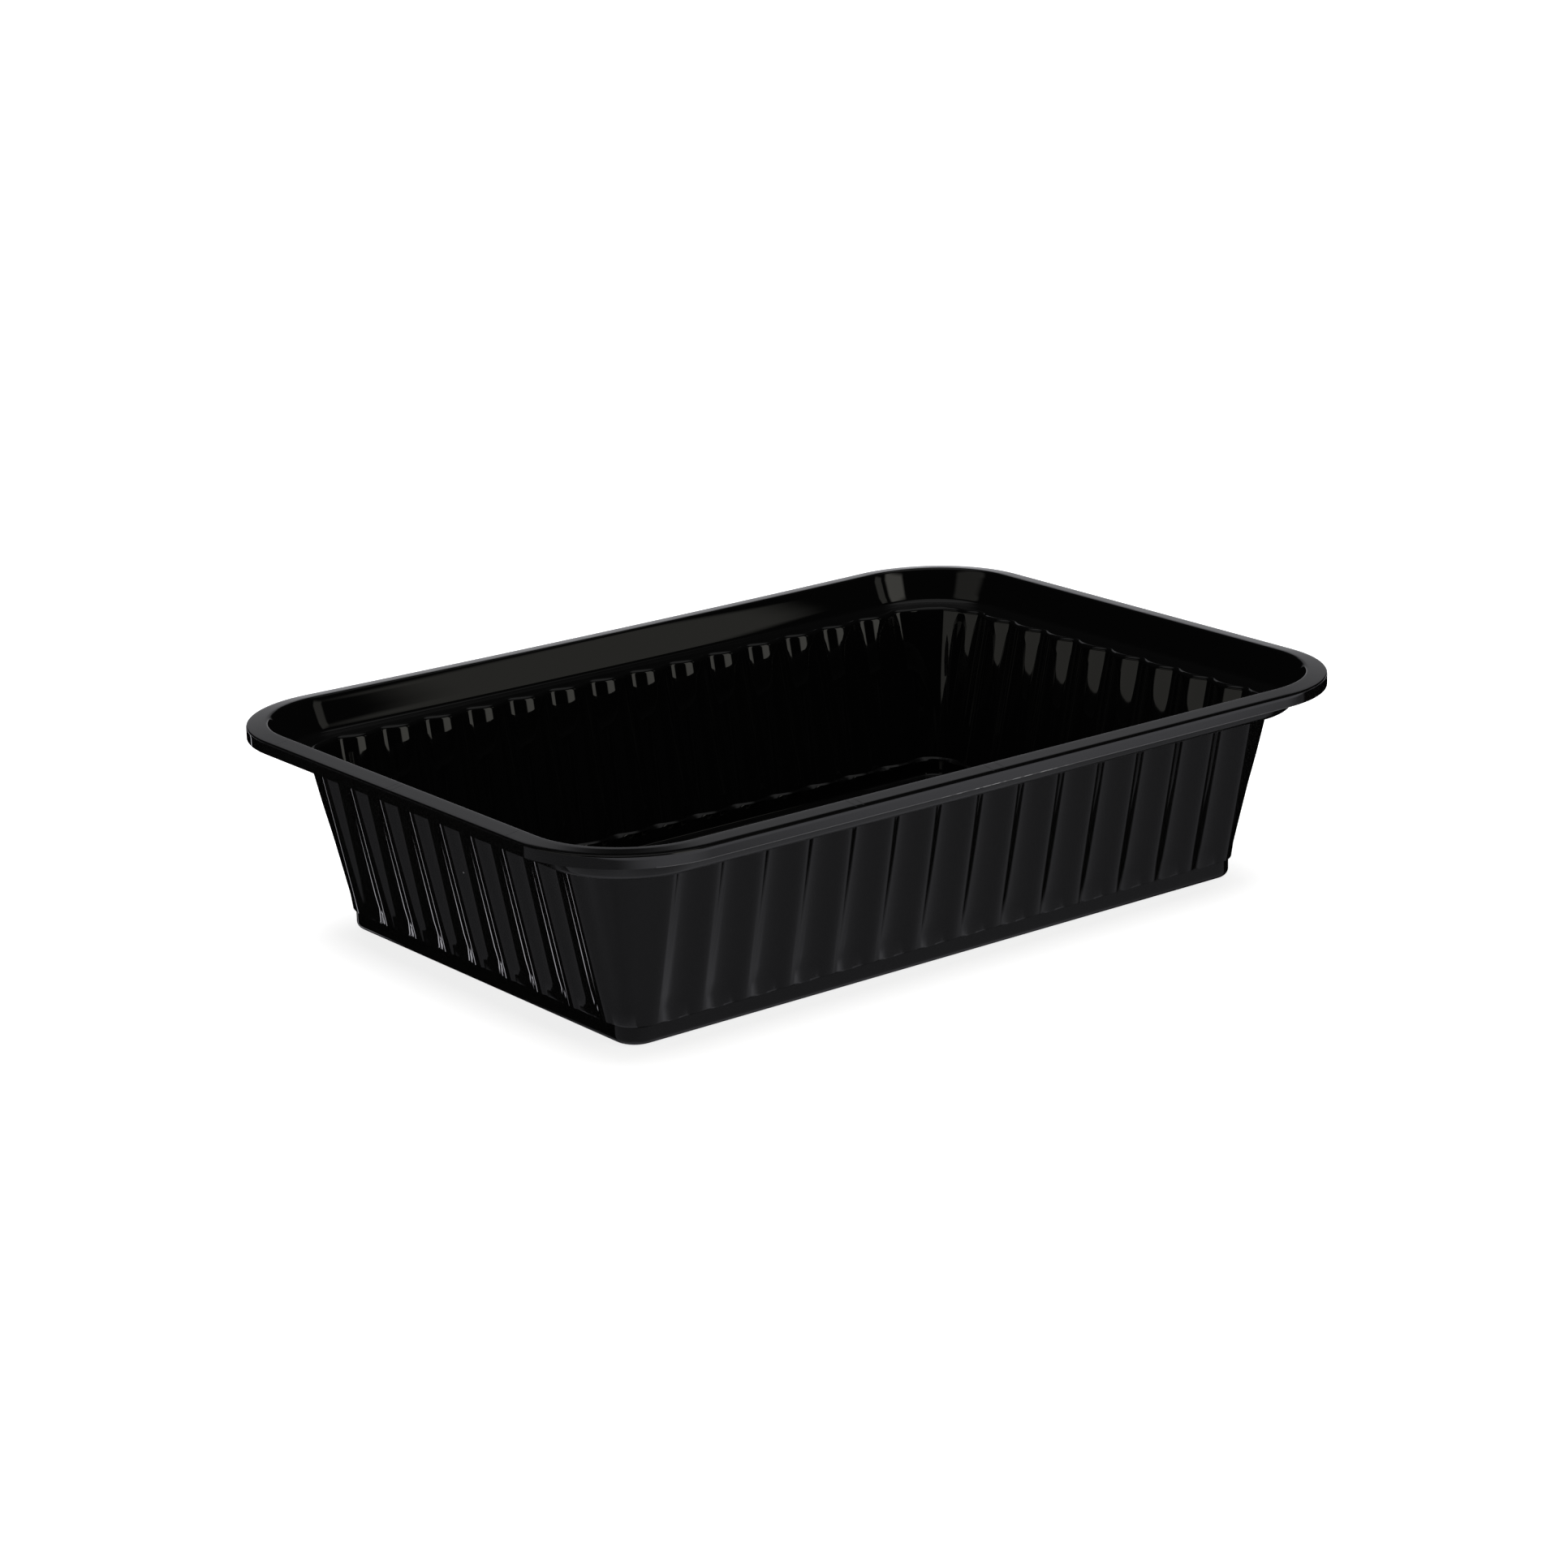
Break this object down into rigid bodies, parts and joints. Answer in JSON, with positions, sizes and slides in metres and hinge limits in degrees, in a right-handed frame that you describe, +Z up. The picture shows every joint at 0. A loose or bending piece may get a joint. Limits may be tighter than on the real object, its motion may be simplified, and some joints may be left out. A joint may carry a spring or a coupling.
{
  "type": "rectangular plastic food tray",
  "caption": "Open rectangular black plastic food tray with rounded corners, fluted sloping walls, an inner ledge and a flat rim with a short turned-down skirt.",
  "frame": {"origin": "on the supporting surface, under the middle of the tray", "axes": "+X along the long side, +Y along the short side, +Z up"},
  "size_m": [0.172, 0.1194, 0.0389],
  "materials": {
    "black_plastic": "gloss black moulded polypropylene, slightly satin on the flange"
  },
  "bodies": {
    "root": {"tray": "black_plastic"}
  },
  "joints": []
}
